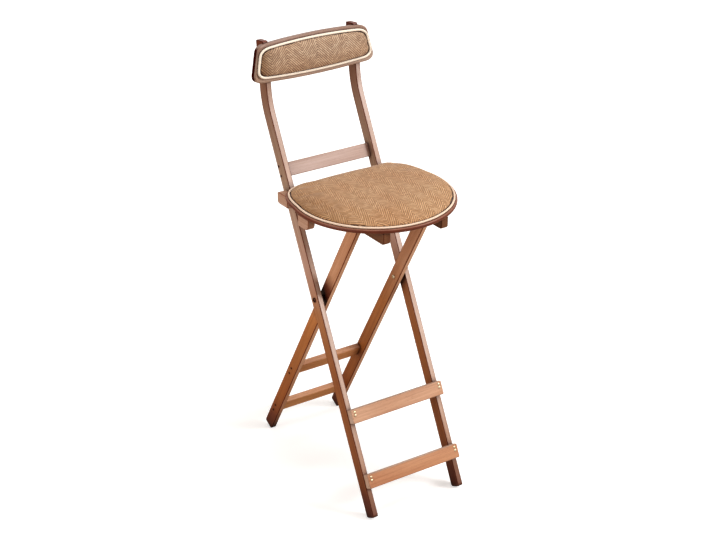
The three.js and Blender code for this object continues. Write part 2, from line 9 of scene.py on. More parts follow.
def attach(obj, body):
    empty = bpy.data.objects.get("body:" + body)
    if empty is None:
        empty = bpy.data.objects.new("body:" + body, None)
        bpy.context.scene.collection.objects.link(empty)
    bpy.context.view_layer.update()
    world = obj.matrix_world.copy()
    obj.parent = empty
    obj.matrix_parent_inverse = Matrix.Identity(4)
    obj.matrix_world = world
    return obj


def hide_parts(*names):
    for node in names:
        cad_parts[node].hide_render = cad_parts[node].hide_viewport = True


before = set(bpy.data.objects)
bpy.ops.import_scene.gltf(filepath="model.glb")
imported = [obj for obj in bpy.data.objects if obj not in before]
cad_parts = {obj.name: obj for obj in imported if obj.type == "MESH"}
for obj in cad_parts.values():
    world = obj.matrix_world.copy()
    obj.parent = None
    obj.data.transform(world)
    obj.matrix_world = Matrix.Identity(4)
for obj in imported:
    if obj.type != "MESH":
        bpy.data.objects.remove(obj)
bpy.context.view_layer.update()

MM = 0.001

# Where things are in millimetres, as in the frame. Places along a rail or a leg are counted from
# PIVOT, where the bolts let the two cross
PIVOT = Vector((0, -12.3845, 493.8)) * MM
RAIL_LEAN = math.radians(26.64)
LEG_LEAN = math.radians(28.96)
POST_LEAN = math.radians(7.2)
RAIL_HALF, LEG_HALF = 16.35, 16.7  # half of a plank's broad side
RAIL_FOOT, LEG_FOOT = -544.90, -555.855
BEND_ABOVE_PIVOT = 488.9
# distances from the plane that halves the stool
RAIL_OUTSIDE, RAIL_MIDDLE = 135.0, 127.85
LEG_OUTSIDE, LEG_INSIDE = 110.8, 97.4
BATTEN_INSIDE = 71.8
SEAT_CENTRE = Vector((0, -62.5845, 754.3)) * MM
BOARD_LOW, BOARD_HIGH = 743.0, 754.0
BOARD_OVERHANG = 6.4
SEAT_CORD_RADIUS, BACK_CORD_RADIUS = 2.4, 2.9
SEAT_CORD_INSET = 1.0
BACK_CORD_INSETS = (8.3, 9.6, 12.2)  # from the board's sides, top and bottom
GAP = 0.3  # what the frame leaves between pieces that touch
# the board is let into the fronts of the posts; BACK_FRONT is the plane its pad lies on, counted from
# the post's middle, and BACK_BOTTOM its lower edge, counted up the post from the bend
LET_IN, BACK_THICKNESS = 8.5, 18.0
BACK_FRONT = -RAIL_HALF + LET_IN - BACK_THICKNESS - GAP
BACK_BOTTOM = 49.4

rail_turn = Matrix.Translation(PIVOT) @ Matrix.Rotation(-RAIL_LEAN, 4, "X")
leg_turn = Matrix.Translation(PIVOT) @ Matrix.Rotation(LEG_LEAN, 4, "X")
post_turn = (
    rail_turn
    @ Matrix.Translation(Vector((0, 0, BEND_ABOVE_PIVOT)) * MM)
    @ Matrix.Rotation(RAIL_LEAN - POST_LEAN, 4, "X")
)


# ---------------------------------------------------------------- colours and nodes
def colour(code):
    parts = [int(code[i : i + 2], 16) / 255 for i in (1, 3, 5)]
    linear = [c / 12.92 if c <= 0.04045 else ((c + 0.055) / 1.055) ** 2.4 for c in parts]
    return (*linear, 1.0)


# Adds one node: its settings by name, its inputs as values or as the outputs that feed them
def add(tree, kind, inputs=(), stops=(), out=0, **settings):
    made = tree.nodes.new(kind)
    for name, value in settings.items():
        setattr(made, name, value)
    pairs = inputs.items() if isinstance(inputs, dict) else enumerate(inputs)
    for socket, value in pairs:
        if isinstance(value, bpy.types.NodeSocket):
            tree.links.new(value, made.inputs[socket])
        else:
            made.inputs[socket].default_value = value
    for step, (place, code) in enumerate(stops):
        elements = made.color_ramp.elements
        element = elements[step] if step < 2 else elements.new(place)
        element.position = place
        element.color = colour(code)
    return made.outputs[out] if made.outputs else made


# Settings for laying one colour over another, and for darkening one colour by another
LAY = {"out": 2, "data_type": "RGBA"}
DARKEN = {"out": 2, "data_type": "RGBA", "blend_type": "MULTIPLY"}


# One colour from end to end of a ramp
def even(code):
    return [(0.0, code), (1.0, code)]


def start_material(name):
    material = bpy.data.materials.new(name)
    material.use_nodes = True
    material.node_tree.nodes.clear()
    return material, material.node_tree


# Stained hardwood under satin lacquer: streaks along the grain, short dark pores, and a stain that
# took unevenly. Its colour changes with height: darker and warmer near the floor, which is painted
# shade, paler and pinker higher up, which is painted light, and darker at the post tops; it is dark
# along the arrises, painted shade darkens the corners where pieces meet, and the narrow faces, which
# the lamps catch, are paler, which is painted light. The lacquer film is worn thin along the arrises,
# and open end grain drinks it up altogether. turn lays the grain; narrow holds other faces with a colour
# of their own, which drink up the film by the share thirst; arris darkens the arrises; shift tells one
# plank's figure from another's; the switch for the legs, which slide past the rails, paints shade around
# the bolt on their outer faces; lined is how strong the dark line along the edges is
def stained_wood(
    name, turn, stain, narrow=None, arris="#ffffff", shift=0.0, thirst=0.0, pivot_shade=False, lined=0.4
):
    material, tree = start_material(name)
    place = add(tree, "ShaderNodeTexCoord", out="Object")
    normal = add(tree, "ShaderNodeTexCoord", out="Normal")

    def along_grain(across, length):
        scale = (across * MM, across * MM, length * MM)
        return {"Vector": place, "Location": (shift, 0, 0), "Rotation": turn, "Scale": scale}

    # the height above the floor picks the colour: stain, with painted shade low down and painted light higher
    # up
    share = add(tree, "ShaderNodeSeparateXYZ", [place], out="Z")
    share = add(tree, "ShaderNodeMath", [share, STAIN_SPAN], operation="DIVIDE")
    base = add(tree, "ShaderNodeValToRGB", [share], stain)
    # faces turned along the axis take the other colour, which on rails, legs and rungs is painted light
    if narrow:
        axis, near, far, facing_tone = narrow
        facing = add(tree, "ShaderNodeVectorMath", [normal, axis], out="Value", operation="DOT_PRODUCT")
        facing = add(tree, "ShaderNodeMath", [facing], operation="ABSOLUTE")
        facing = add(tree, "ShaderNodeMapRange", {"Value": facing, "From Min": near, "From Max": far})
        other = add(tree, "ShaderNodeValToRGB", [share], facing_tone)
        base = add(tree, "ShaderNodeMix", {0: facing, 6: base, 7: other}, **LAY)
    # growth bands 7 mm wide, running 240 mm
    bands = add(tree, "ShaderNodeMapping", along_grain(7, 240), vector_type="TEXTURE")
    bands = {"Vector": bands, "Scale": 1.0, "Detail": 3.0, "Roughness": 0.55, "Distortion": 0.5}
    bands = add(tree, "ShaderNodeTexNoise", bands)
    # fibres 1.2 mm wide, running 60 mm
    fibres = add(tree, "ShaderNodeMapping", along_grain(1.2, 60), vector_type="TEXTURE")
    fibres = {"Vector": fibres, "Scale": 1.0, "Detail": 2.0, "Roughness": 0.6}
    fibres = add(tree, "ShaderNodeTexNoise", fibres)
    # pores 0.7 mm wide and 9 mm long, twice as wide as real ones so that they show
    pores = add(tree, "ShaderNodeMapping", along_grain(0.7, 9), vector_type="TEXTURE")
    pores = {"Vector": pores, "Scale": 1.0, "Detail": 1.0, "Roughness": 0.5}
    pores = add(tree, "ShaderNodeTexNoise", pores)
    # stain that took unevenly, in patches 60 mm across and 160 mm long
    patches = add(tree, "ShaderNodeMapping", along_grain(60, 160), vector_type="TEXTURE")
    patches = add(tree, "ShaderNodeTexNoise", {"Vector": patches, "Scale": 1.0, "Detail": 1.0})
    streaks = add(tree, "ShaderNodeMath", [bands, 0.65], operation="MULTIPLY")
    streaks = add(tree, "ShaderNodeMath", [fibres, 0.35, streaks], operation="MULTIPLY_ADD")
    grain = add(tree, "ShaderNodeValToRGB", [streaks], GRAIN)
    base = add(tree, "ShaderNodeMix", {0: 1.0, 6: base, 7: grain}, **DARKEN)
    pored = add(tree, "ShaderNodeMapRange", {"Value": pores, "From Min": 0.6, "From Max": 0.78, "To Max": 0.4})
    base = add(tree, "ShaderNodeMix", {0: pored, 6: base, 7: colour(PORE_TONE)}, **DARKEN)
    tint = add(tree, "ShaderNodeValToRGB", [patches], [(0.3, "#ead9ca"), (0.7, "#ffffff")])
    base = add(tree, "ShaderNodeMix", {0: 0.8, 6: base, 7: tint}, **DARKEN)
    # an arris is where the surface looks half sideways
    sideways = add(tree, "ShaderNodeSeparateXYZ", [normal], out="X")
    sideways = add(tree, "ShaderNodeMath", [sideways], operation="ABSOLUTE")
    eased = [(0.2, "#ffffff"), (0.45, arris), (0.92, arris), (0.99, "#ffffff")]
    sideways = add(tree, "ShaderNodeValToRGB", [sideways], eased)
    base = add(tree, "ShaderNodeMix", {0: 1.0, 6: base, 7: sideways}, **DARKEN)
    film = add(tree, "ShaderNodeRGBToBW", [sideways])
    # stain gathered in a line on either side of every edge, where a rounded surface would turn
    flat = add(tree, "ShaderNodeNewGeometry", out="Normal")
    turning = add(tree, "ShaderNodeBevel", {"Radius": LINE_WIDTH * MM}, samples=6)
    turning = add(tree, "ShaderNodeVectorMath", [flat, turning], out="Value", operation="DOT_PRODUCT")
    turning = {"Value": turning, "From Min": 0.998, "From Max": 0.93, "To Max": lined}
    turning = add(tree, "ShaderNodeMapRange", turning)
    base = add(tree, "ShaderNodeMix", {0: turning, 6: base, 7: colour(LINE_TONE)}, **LAY)
    # painted shade in the corners where one piece meets another
    corner = {"Distance": CORNER_REACH * MM}
    corner = add(tree, "ShaderNodeAmbientOcclusion", corner, out="AO", samples=8)
    corner = {"Value": corner, "From Min": 0.9, "From Max": 0.45, "To Max": 0.9}
    corner = add(tree, "ShaderNodeMapRange", corner)
    base = add(tree, "ShaderNodeMix", {0: corner, 6: base, 7: colour(CORNER_SHADE_TONE)}, **DARKEN)
    if thirst:
        bare = add(tree, "ShaderNodeMath", [facing, -thirst, 1.0], operation="MULTIPLY_ADD")
        film = add(tree, "ShaderNodeMath", [film, bare], operation="MULTIPLY")
    if pivot_shade:
        # painted shade around the bolt on the side that slides past a rail, and so looks outward, where the
        # rail shades it
        outward = add(tree, "ShaderNodeVectorMath", [normal, place], operation="MULTIPLY")
        outward = add(tree, "ShaderNodeSeparateXYZ", [outward], out="X")
        outward = add(tree, "ShaderNodeMapRange", {"Value": outward, "From Min": 0.06, "From Max": 0.1})
        reach = add(tree, "ShaderNodeVectorMath", [place, PIVOT], operation="SUBTRACT")
        reach = add(tree, "ShaderNodeVectorMath", [reach, (0, 1, 1)], operation="MULTIPLY")
        reach = add(tree, "ShaderNodeVectorMath", [reach], out="Value", operation="LENGTH")
        reach = {"Value": reach, "From Min": PIVOT_SHADE_END * MM, "From Max": PIVOT_SHADE_FULL * MM}
        reach = add(tree, "ShaderNodeMapRange", reach)
        reach = add(tree, "ShaderNodeMath", [reach, outward], operation="MULTIPLY")
        base = add(tree, "ShaderNodeMix", {0: reach, 6: base, 7: colour(PIVOT_SHADE_TONE)}, **DARKEN)
    gloss = add(tree, "ShaderNodeMath", [film, 0.3], operation="MULTIPLY")
    coat = add(tree, "ShaderNodeMath", [film, 0.12], operation="MULTIPLY")
    roughness = add(tree, "ShaderNodeMath", [fibres, 0.16, 0.36], operation="MULTIPLY_ADD")
    relief = add(tree, "ShaderNodeMath", [pored, -1.2, fibres], operation="MULTIPLY_ADD")
    bump = add(tree, "ShaderNodeBump", {"Strength": 0.25, "Distance": 0.12 * MM, "Height": relief})
    shader = {"Base Color": base, "Roughness": roughness, "Normal": bump, "IOR": 1.5,
              "Specular IOR Level": gloss, "Coat Weight": coat, "Coat Roughness": 0.3}
    add(tree, "ShaderNodeOutputMaterial", {"Surface": add(tree, "ShaderNodeBsdfPrincipled", shader)})
    return material


# Paper-straw herringbone cloth: flat rows of strands that slant one way and then the other from
# band to band, matt, with painted shade in the gaps between rows and single strands that took more
# or less colour. The last argument lists painted shade laid on it: a direction, the places along it
# where that starts and is full, and the tone
def herringbone(name, turn, band, row_width, straw, painted_shade):
    material, tree = start_material(name)
    place = add(tree, "ShaderNodeTexCoord", out="Object")
    flat = add(tree, "ShaderNodeMapping", {"Vector": place, "Rotation": turn}, vector_type="TEXTURE")
    across = add(tree, "ShaderNodeSeparateXYZ", [flat], out="X")
    up = add(tree, "ShaderNodeSeparateXYZ", [flat], out="Y")
    fold = add(tree, "ShaderNodeMath", [across, band * MM], operation="PINGPONG")
    # rows climb at 45 degrees and turn back at each band
    climb = add(tree, "ShaderNodeMath", [up, fold], operation="ADD")
    row = add(tree, "ShaderNodeMath", [climb, row_width * MM], operation="DIVIDE")
    index = add(tree, "ShaderNodeMath", [row], operation="FLOOR")
    inside = add(tree, "ShaderNodeMath", [row], operation="FRACT")
    # each row is laid in floats, half a float later than in the row before
    along = add(tree, "ShaderNodeMath", [up, fold], operation="SUBTRACT")
    along = add(tree, "ShaderNodeMath", [along, FLOAT_LENGTH * MM], operation="DIVIDE")
    along = add(tree, "ShaderNodeMath", [index, 0.5, along], operation="MULTIPLY_ADD")
    step = add(tree, "ShaderNodeMath", [along], operation="FRACT")
    section = add(tree, "ShaderNodeMath", [inside, math.pi], operation="MULTIPLY")
    section = add(tree, "ShaderNodeMath", [section], operation="SINE")
    section = add(tree, "ShaderNodeMath", [section, 0.55], operation="POWER")
    dip = add(tree, "ShaderNodeMath", [step, math.pi], operation="MULTIPLY")
    dip = add(tree, "ShaderNodeMath", [dip], operation="SINE")
    dip = add(tree, "ShaderNodeMath", [dip, 0.08], operation="POWER")
    height = add(tree, "ShaderNodeMath", [section, dip], operation="MULTIPLY")
    number = add(tree, "ShaderNodeMath", [along], operation="FLOOR")
    side = add(tree, "ShaderNodeMath", [across, band * MM], operation="DIVIDE")
    side = add(tree, "ShaderNodeMath", [side], operation="FLOOR")
    cell = add(tree, "ShaderNodeCombineXYZ", [index, number, side])
    shade = add(tree, "ShaderNodeTexWhiteNoise", {"Vector": cell})
    strand = add(tree, "ShaderNodeValToRGB", [shade], straw)
    # painted shade down in the gaps between the rows
    depth = add(tree, "ShaderNodeValToRGB", [height], [(0.35, "#4c2f1c"), (0.82, "#ffffff")])
    woven = add(tree, "ShaderNodeMix", {0: 0.9, 6: strand, 7: depth}, **DARKEN)
    # rubbed and sun-faded areas 111 mm across
    wash = add(tree, "ShaderNodeTexNoise", {"Vector": flat, "Scale": 1 / (111 * MM), "Detail": 2.0})
    wash = add(tree, "ShaderNodeValToRGB", [wash], [(0.35, "#f4e6d8"), (0.65, "#ffffff")])
    woven = add(tree, "ShaderNodeMix", {0: 0.7, 6: woven, 7: wash}, **DARKEN)
    # painted shade where less light reaches the cushion: its left end, and warm at the back's lower edge
    for direction, start, full, tone in painted_shade:
        shade_share = add(tree, "ShaderNodeVectorMath", [place, direction], out="Value", operation="DOT_PRODUCT")
        shade_share = {"Value": shade_share, "From Min": start * MM, "From Max": full * MM}
        shade_share = add(tree, "ShaderNodeMapRange", shade_share)
        woven = add(tree, "ShaderNodeMix", {0: shade_share, 6: woven, 7: colour(tone)}, **DARKEN)
    bump = add(tree, "ShaderNodeBump", {"Strength": 0.7, "Distance": 0.6 * MM, "Height": height})
    shader = {"Base Color": woven, "Normal": bump, "IOR": 1.45, "Roughness": 0.8,
              "Sheen Weight": 0.12, "Sheen Roughness": 0.5}
    add(tree, "ShaderNodeOutputMaterial", {"Surface": add(tree, "ShaderNodeBsdfPrincipled", shader)})
    return material


# Cotton-covered piping cord: cream, matt, with twill lines three times as far apart as real ones,
# so that they show
def piping_cotton(name, valley, crest):
    material, tree = start_material(name)
    place = add(tree, "ShaderNodeTexCoord", out="Object")
    # the texture's diagonal bands lie 2 pi / (10 x the root of 3) apart at scale 1
    scale = 2 * math.pi / (10 * math.sqrt(3) * TWILL_SPACING * MM)
    twill = {"Vector": place, "Scale": scale, "Distortion": 0.4, "Detail": 1.0}
    twill = add(
        tree, "ShaderNodeTexWave", twill, out="Fac", wave_type="BANDS", bands_direction="DIAGONAL"
    )
    cream = add(tree, "ShaderNodeValToRGB", [twill], [(0.0, valley), (1.0, crest)])
    bump = add(tree, "ShaderNodeBump", {"Strength": 0.3, "Distance": 0.15 * MM, "Height": twill})
    shader = {"Base Color": cream, "Normal": bump, "IOR": 1.45, "Roughness": 0.75, "Sheen Weight": 0.12}
    add(tree, "ShaderNodeOutputMaterial", {"Surface": add(tree, "ShaderNodeBsdfPrincipled", shader)})
    return material


# Turned steel with a thin finish, half matt, worn a little brighter in spots 3 mm across
def finished_steel(name, dull, bright):
    material, tree = start_material(name)
    place = add(tree, "ShaderNodeTexCoord", out="Object")
    wear = add(tree, "ShaderNodeTexNoise", {"Vector": place, "Scale": 1 / (3 * MM), "Detail": 3.0})
    tone = add(tree, "ShaderNodeValToRGB", [wear], [(0.35, dull), (0.7, bright)])
    roughness = add(tree, "ShaderNodeMath", [wear, 0.25, 0.3], operation="MULTIPLY_ADD")
    shader = {"Metallic": 1.0, "Base Color": tone, "Roughness": roughness}
    add(tree, "ShaderNodeOutputMaterial", {"Surface": add(tree, "ShaderNodeBsdfPrincipled", shader)})
    return material


# stain in open pores and gathered along edges; painted shade in corners and on the legs around the bolt
PORE_TONE, LINE_TONE, CORNER_SHADE_TONE, PIVOT_SHADE_TONE = "#8a5230", "#6a331e", "#5c2c1a", "#7c5240"
# how wide the line along an edge is, and how far the painted shade in a corner and around the bolt reaches, in
# mm
LINE_WIDTH, CORNER_REACH = 3.0, 34
PIVOT_SHADE_FULL, PIVOT_SHADE_END = 40, 85
# the length of a float in the weave, and from line to line of the piping's twill, in mm
FLOAT_LENGTH, TWILL_SPACING = 13, 3.191
GRAIN = [(0.28, "#cfbdb0"), (0.45, "#e2d6cc"), (0.6, "#f1ebe6"), (0.8, "#ffffff")]
# colours by height above the floor, in shares of STAIN_SPAN metres: stain with painted shade low down and
# painted light higher up; the lowest 60 mm darker, painted shade; the post tops above 1.06 m and the backrest
# board's upper edge darker
STAIN_SPAN = 1.1
RAIL_STAIN_LIGHT_AND_SHADE = [
    (0.0, "#4e1e15"), (0.045, "#693320"), (0.065, "#80441e"), (0.13, "#a36437"), (0.3, "#b77643"),
    (0.42, "#c68858"), (0.52, "#e8c6ba"), (0.66, "#d1bba9"), (0.86, "#a07966"), (0.955, "#9b7154"),
    (0.968, "#7c3a20"),
]
RAIL_NARROW_LIT = [
    (0.0, "#74463a"), (0.05, "#94684f"), (0.08, "#b98f76"), (0.2, "#dcc2b4"), (0.35, "#f8e8e2"),
    (0.6, "#f0d6c9"), (0.75, "#cdb6ab"), (0.86, "#d2bdb6"), (0.955, "#c6b1a6"), (0.968, "#7c3a20"),
]
LEG_STAIN_LIGHT_AND_SHADE = [
    (0.0, "#542216"), (0.045, "#7c3e22"), (0.065, "#9a5428"), (0.12, "#be7335"), (0.25, "#c07a40"),
    (0.37, "#de9452"), (0.5, "#ecb690"),
]
LEG_NARROW_LIT = [(0.0, "#7a4636"), (0.045, "#a5745a"), (0.07, "#e2b08e"), (0.25, "#facfae"), (0.6, "#facfae")]
FRONT_RUNG_STAIN_LIGHT_AND_SHADE = [(0.08, "#d49a70"), (0.25, "#ebc1a2"), (0.7, "#bfa59b")]
REAR_RUNG_STAIN = even("#eaac70")
SEAT_BOARD_STAIN = even("#9c6850")
BACK_BOARD_STAIN = [(0.95, "#ccb9ad"), (0.962, "#a3887c")]
BLOCK_STAIN = even("#debba7")
BATTEN_STAIN = even("#83573a")
SEAT_STRAW = [(0.0, "#b88c60"), (0.5, "#c89b6f"), (1.0, "#d8ae83")]
BACK_STRAW = [(0.0, "#ad8f76"), (0.5, "#c0a286"), (1.0, "#d1b69a")]
ACROSS, UPRIGHT = (1, 0, 0), (0, 0, 1)
# painted shade on the cushions' left ends and, warm, on the back's lower edge, over these millimetres
SEAT_PAINTED_SHADE = [(ACROSS, -120, -180, "#e2d8c8")]
BACK_PAINTED_SHADE = [(ACROSS, -115, -145, "#cbbca8"), (UPRIGHT, 1045, 998, "#fff1e2")]
RAIL_FRONT = (0, -math.cos(RAIL_LEAN), math.sin(RAIL_LEAN))
LEG_FRONT = (0, -math.cos(LEG_LEAN), -math.sin(LEG_LEAN))
# other faces of the same timber: an axis, the cosines to it between which the colour changes, and the
# other colour; paler on the narrow faces of rails and legs and the other faces of the rungs, which is painted
# light, and darker on the seat board's rim, a darker stain and painted shade together
RAIL_SIDES = (ACROSS, 0.8, 0.3, RAIL_NARROW_LIT)
LEG_SIDES = (ACROSS, 0.8, 0.3, LEG_NARROW_LIT)
FRONT_RUNG_EDGES = (RAIL_FRONT, 0.85, 0.5, [(0.0, "#e8d0c0"), (1.0, "#d8c4ba")])
REAR_RUNG_EDGES = (LEG_FRONT, 0.85, 0.5, even("#ecb894"))
SEAT_RIM = (UPRIGHT, 0.75, 0.35, even("#7a3c26"))
# the ends of the backrest board are end grain, stained nearly black
BACK_ENDS = (ACROSS, 0.6, 0.85, even("#400f09"))
# the stain gathers along the arrises of rails and legs
DARK_ARRIS, SOFT_ARRIS = "#8a4a2e", "#c49a88"
ALONG_X = (0, math.radians(90), 0)
ALONG_Y = (math.radians(90), 0, 0)
rail_wood = stained_wood(
    "stained_beech_rails", (-RAIL_LEAN, 0, 0), RAIL_STAIN_LIGHT_AND_SHADE, RAIL_SIDES, DARK_ARRIS, lined=0.9
)
leg_wood = stained_wood(
    "stained_beech_legs", (LEG_LEAN, 0, 0), LEG_STAIN_LIGHT_AND_SHADE, LEG_SIDES, DARK_ARRIS, 0.31, pivot_shade=True, lined=0.9
)
front_rung_wood = stained_wood(
    "stained_beech_front_rungs", ALONG_X, FRONT_RUNG_STAIN_LIGHT_AND_SHADE, FRONT_RUNG_EDGES, shift=0.57
)
rear_rung_wood = stained_wood(
    "stained_beech_rear_rungs", ALONG_X, REAR_RUNG_STAIN, REAR_RUNG_EDGES, shift=0.21
)
seat_wood = stained_wood(
    "stained_beech_seat_board", ALONG_X, SEAT_BOARD_STAIN, SEAT_RIM, shift=0.83, lined=0.2
)
back_wood = stained_wood(
    "stained_beech_back_board", ALONG_X, BACK_BOARD_STAIN, BACK_ENDS, shift=0.44, thirst=1.0, lined=0.2
)
block_wood = stained_wood("stained_beech_blocks", ALONG_Y, BLOCK_STAIN, None, SOFT_ARRIS, 0.12)
batten_wood = stained_wood("stained_beech_battens", ALONG_Y, BATTEN_STAIN, None, SOFT_ARRIS, 0.68)
# bands 24 and 42 mm wide, rows 6 and 6.4 mm apart
BACK_FACE = (math.radians(90) - POST_LEAN, 0, 0)
seat_cloth = herringbone("straw_herringbone_seat", (0, 0, 0), 24, 6.0, SEAT_STRAW, SEAT_PAINTED_SHADE)
back_cloth = herringbone("straw_herringbone_back", BACK_FACE, 42, 6.4, BACK_STRAW, BACK_PAINTED_SHADE)
# the seat's piping has yellowed more than the backrest's
seat_cotton = piping_cotton("cotton_piping_seat", "#efd2b8", "#fce2cc")
back_cotton = piping_cotton("cotton_piping_back", "#f9e9d4", "#fff6e8")
# black oxide, gone brown with wear, for the bolts, the sleeves, the pins and the screws in sides and
# backs; yellow zinc for the nuts and the screws in the front rungs
black_steel = finished_steel("black_oxide_steel", "#351a12", "#55301f")
yellow_steel = finished_steel("yellow_zinc_steel", "#b8a07c", "#e8d8b8")


# ---------------------------------------------------------------- mesh helpers
def new_object(name, data):
    made = bpy.data.objects.new(name, data)
    bpy.context.scene.collection.objects.link(made)
    return made


def mesh_from(bm, name):
    mesh = bpy.data.meshes.new(name)
    bm.to_mesh(mesh)
    bm.free()
    return mesh


# The mesh that an object's modifiers, or a curve, make
def evaluated(piece):
    return bpy.data.meshes.new_from_object(piece.evaluated_get(bpy.context.evaluated_depsgraph_get()))


def place_piece(name, mesh, material, body, nodes):
    piece = new_object(name, mesh)
    mesh.materials.clear()
    mesh.materials.append(material)
    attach(piece, body)
    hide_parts(*nodes)
    return piece


def smooth_by_angle(bm, degrees):
    for face in bm.faces:
        face.smooth = True
    for edge in bm.edges:
        edge.smooth = edge.is_manifold and edge.calc_face_angle(0) < math.radians(degrees)


def break_edges(bm, edges, radius, segments):
    bmesh.ops.bevel(bm, geom=edges, offset=radius * MM, offset_type="OFFSET", segments=segments, profile=0.5,
                    affect="EDGES", clamp_overlap=True, material=-1)


def merged_copy(node):
    bm = bmesh.new()
    bm.from_mesh(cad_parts[node].data)
    bmesh.ops.remove_doubles(bm, verts=bm.verts, dist=0.01 * MM)
    bmesh.ops.dissolve_limit(bm, angle_limit=math.radians(1), verts=bm.verts, edges=bm.edges)
    return bm


# Rounds a corner that runs along X: flat cuts that touch a circle about the centre, from one
# direction round to the other
def round_corner(bm, centre, radius, first, last, cuts=5):
    for step in range(cuts):
        away = first.slerp(last, (step + 0.5) / cuts)
        touch = centre + away * radius * MM
        everything = bm.verts[:] + bm.edges[:] + bm.faces[:]
        bmesh.ops.bisect_plane(bm, geom=everything, plane_co=touch, plane_no=away, clear_outer=True)
        bmesh.ops.holes_fill(bm, edges=[e for e in bm.edges if e.is_boundary], sides=0)


# a foot is what lies within these millimetres of the plank's end
FOOT_PART = 5


# Rounds both corners of a foot; the end is let out first, so that the round still meets the floor.
# The stool stands on the corner on the side of standing
def round_foot(bm, turn, half, foot, standing, radius=9.0):
    frame_turn = turn.to_3x3()
    sole = frame_turn @ Vector((0, 0, -1))
    centre = turn @ (Vector((0, standing * (half - radius), foot + radius)) * MM)
    let_out = (centre.z - radius * MM) / -sole.z
    for vertex in bm.verts:
        if (vertex.co - turn @ (Vector((0, 0, foot + FOOT_PART)) * MM)).dot(sole) > 0:
            vertex.co += sole * let_out
    for side_sign in (-1, 1):
        centre = turn @ (Vector((0, side_sign * (half - radius), foot + radius)) * MM) + sole * let_out
        round_corner(bm, centre, radius, sole, frame_turn @ Vector((0, side_sign, 0)))


# A timber member in its drawn shape, with its arrises eased
def ease(node, material, body, ease_mm=0.8, shape=None):
    bm = merged_copy(node)
    if shape:
        shape(bm)
    for face in bm.faces:
        face.smooth = True
    piece = place_piece(node + "_timber", mesh_from(bm, node + "_timber"), material, body, [node])
    arris = piece.modifiers.new("arris", "BEVEL")
    arris.width = ease_mm * MM
    arris.segments = 2
    arris.limit_method = "ANGLE"
    arris.angle_limit = math.radians(35)
    normals = piece.modifiers.new("flat_faces", "WEIGHTED_NORMAL")
    normals.keep_sharp = True


def rail_foot(bm):
    round_foot(bm, rail_turn, RAIL_HALF, RAIL_FOOT, 1)


def leg_foot(bm):
    round_foot(bm, leg_turn, LEG_HALF, LEG_FOOT, -1)


# the rear blocks' upper rear corner is rounded like the lower one
def rear_block_top(bm):
    radius = 6.0
    top = max(v.co.z for v in bm.verts)
    back = max(v.co.y for v in bm.verts)
    centre = Vector((0, back - radius * MM, top - radius * MM))
    round_corner(bm, centre, radius, Vector((0, 0, 1)), Vector((0, 1, 0)))


for side in ("left", "right"):
    ease(side + "_long_rail", rail_wood, "rail_frame", shape=rail_foot)
    ease(side + "_rear_leg", leg_wood, "rear_legs", shape=leg_foot)
    ease(side + "_seat_batten", batten_wood, "seat", 1.2)
    ease(side + "_rear_seat_block", block_wood, "seat", 1.5, rear_block_top)
    ease(side + "_front_seat_block", block_wood, "seat", 1.5)
for level in ("upper", "lower"):
    ease(level + "_front_rung", front_rung_wood, "rail_frame", 1.2)
    ease(level + "_rear_rung", rear_rung_wood, "rear_legs", 1.0)
ease("back_slat", front_rung_wood, "rail_frame")
ease("backrest_board", back_wood, "rail_frame", 1.0)


# ---------------------------------------------------------------- outlines
def bezier(points, steps):
    made = []
    for step in range(steps):
        t = step / steps
        row = [Vector(p) for p in points]
        while len(row) > 1:
            row = [a.lerp(b, t) for a, b in zip(row, row[1:])]
        made.append(row[0])
    return made


# The seat: most of a circle, a soft corner on either side and a straight back. The corners' guide
# points are shares of the radius, across and towards the back; the circle takes over where a line
# from its centre points CIRCLE_START behind straight sideways
SEAT_RADIUS, SEAT_BACK = 191.8, 142.8
SEAT_CORNER = ((0.593, 0.7445), (0.889, 0.737), (0.952, 0.4406))
CIRCLE_START = math.radians(13.05)
CORNER_STEPS, CIRCLE_STEPS, BACK_STEPS = 14, 60, 16


def seat_outline(grow):
    radius = SEAT_RADIUS + grow
    back = SEAT_BACK + grow
    (end_x, end_y), (corner_x, corner_y), (side_x, side_y) = SEAT_CORNER
    share = back / (end_y * radius)
    left = [
        (-end_x * radius, back), (-corner_x * radius, corner_y * radius * share),
        (-side_x * radius, side_y * radius),
        (-math.cos(CIRCLE_START) * radius, math.sin(CIRCLE_START) * radius),
    ]
    points = bezier(left, CORNER_STEPS)
    sweep = math.pi + 2 * CIRCLE_START
    for step in range(CIRCLE_STEPS):
        angle = math.pi - CIRCLE_START + sweep * step / CIRCLE_STEPS
        points.append(Vector((math.cos(angle) * radius, math.sin(angle) * radius)))
    points += bezier([(-x, y) for x, y in reversed(left)], CORNER_STEPS)
    last, first = Vector((end_x * radius, back)), Vector((-end_x * radius, back))
    points += [last.lerp(first, step / BACK_STEPS) for step in range(BACK_STEPS)]
    return points


# The backrest: sides that lean in, a sagging lower edge, an arched upper edge and round corners,
# which reach so far along the lower edge, up the side, down the side and along the upper edge
BACK_HALF_WIDTH, BACK_HEIGHT, SIDE_TAPER = 175.8, 102.3, 0.2255
SAG, ARCH = 4.5, 5.3
LOWER_REACH, LOWER_RISE, UPPER_DROP, UPPER_REACH = 29, 28, 24.3, 45.1


